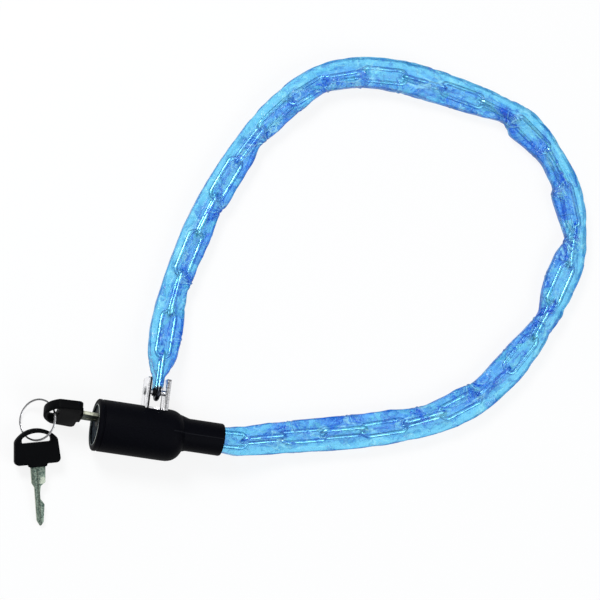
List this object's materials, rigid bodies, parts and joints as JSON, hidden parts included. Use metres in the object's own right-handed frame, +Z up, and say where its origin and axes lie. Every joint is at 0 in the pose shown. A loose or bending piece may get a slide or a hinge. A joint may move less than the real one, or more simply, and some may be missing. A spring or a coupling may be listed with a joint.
{
  "type": "chain lock",
  "caption": "Bicycle chain lock: a chain in a translucent blue vinyl sleeve, a round black cylinder lock with a pull-out fork, a key in the lock and a spare key on a ring.",
  "frame": {"origin": "on the surface the lock lies on, straight below the crossing of the barrel's axis with the fork's centre plane", "axes": "+X along the barrel from the key end to the chain's tail, +Y the way the fork pulls out, +Z up"},
  "size_m": [0.31, 0.2859, 0.0275],
  "materials": {
    "jacket_plastic": "soft black moulded plastic with a fine satin grain",
    "zinc_casting": null,
    "face_steel": "plated pressed steel",
    "steel_pin": "bright plated steel",
    "brass_plug": "machined brass",
    "plated_fork": "bright plated folded steel",
    "bush_plastic": "black plastic",
    "key_brass": "nickelled brass, worn",
    "bow_plastic": "black moulded plastic, satin",
    "ring_wire": "bright wire",
    "blue_vinyl": "translucent blue soft vinyl, glossy, wrinkled",
    "spring_wire": "bright spring wire",
    "chain_steel": "welded steel links, zinc plated"
  },
  "bodies": {
    "lock_body": {"jacket": "jacket_plastic", "lock_housing": "zinc_casting", "face_plate": "face_steel", "plug_pin": "steel_pin", "tail_pin": "steel_pin", "sleeve": "blue_vinyl", "link_12": "chain_steel", "link_13": "chain_steel", "link_14": "chain_steel", "link_15": "chain_steel", "link_16": "chain_steel", "link_17": "chain_steel", "link_18": "chain_steel", "link_19": "chain_steel", "link_20": "chain_steel", "link_21": "chain_steel", "link_22": "chain_steel", "link_23": "chain_steel", "link_24": "chain_steel", "link_25": "chain_steel", "link_26": "chain_steel", "link_27": "chain_steel", "link_28": "chain_steel", "link_29": "chain_steel"},
    "plug": {"lock_plug": "brass_plug", "wafer_1": "brass_plug", "wafer_2": "brass_plug", "wafer_3": "brass_plug", "wafer_4": "brass_plug", "wafer_5": "brass_plug", "wafer_spring_1": "spring_wire", "wafer_spring_2": "spring_wire", "wafer_spring_3": "spring_wire", "wafer_spring_4": "spring_wire", "wafer_spring_5": "spring_wire"},
    "key": {"key_blade": "key_brass", "key_bow": "bow_plastic"},
    "ring": {"key_ring": "ring_wire"},
    "spare_key": {"spare_key_blade": "key_brass", "spare_key_bow": "bow_plastic"},
    "fork": {"shackle_fork": "plated_fork", "fork_rivet": "steel_pin", "rivet_bush": "bush_plastic", "link_01": "chain_steel", "link_02": "chain_steel", "link_03": "chain_steel", "link_04": "chain_steel", "link_05": "chain_steel", "link_06": "chain_steel", "link_07": "chain_steel", "link_08": "chain_steel"},
    "chain_09": {"link_09": "chain_steel"},
    "chain_10": {"link_10": "chain_steel"},
    "chain_11": {"link_11": "chain_steel"}
  },
  "joints": [
    {"name": "plug_turn", "type": "hinge", "parent": "lock_body", "child": "plug", "pos_m": [-0.018, 0.004, 0.0135], "axis": [-1, 0, 0], "range_deg": [0, 90]},
    {"name": "key_draw", "type": "slide", "parent": "plug", "child": "key", "axis": [-1, 0, 0], "range_m": [0, 0.025]},
    {"name": "ring_swing", "type": "hinge", "parent": "key", "child": "ring", "pos_m": [-0.05422, 0.00443, 0.01482], "axis": [0, 0.9511, -0.309], "range_deg": [0, 45]},
    {"name": "spare_key_swing", "type": "hinge", "parent": "ring", "child": "spare_key", "pos_m": [-0.061, -0.0015, 0.0085], "axis": [-0.682, 0, 0.7314], "range_deg": [0, 40]},
    {"name": "fork_pull", "type": "slide", "parent": "lock_body", "child": "fork", "axis": [0, 1, 0], "range_m": [0, 0.017], "deforming": ["sleeve"]},
    {"name": "link_09_follow", "type": "hinge", "parent": "lock_body", "child": "chain_09", "pos_m": [0.2582, 0.2136, 0.0058], "axis": [0, 0, -1], "range_deg": [0, 4.3]},
    {"name": "link_10_follow", "type": "hinge", "parent": "lock_body", "child": "chain_10", "pos_m": [0.1132, 0.2164, 0.0058], "axis": [0, 0, -1], "range_deg": [0, 19.2]},
    {"name": "link_11_follow", "type": "hinge", "parent": "lock_body", "child": "chain_11", "pos_m": [0.1221, 0.2187, 0.0058], "axis": [0, 0, -1], "range_deg": [0, 11.4]}
  ],
  "couplings": [
    {"joint": "link_09_follow", "follows": "fork_pull", "rad_per_m": 4.414},
    {"joint": "link_10_follow", "follows": "fork_pull", "rad_per_m": 19.711},
    {"joint": "link_11_follow", "follows": "fork_pull", "rad_per_m": 11.703}
  ]
}
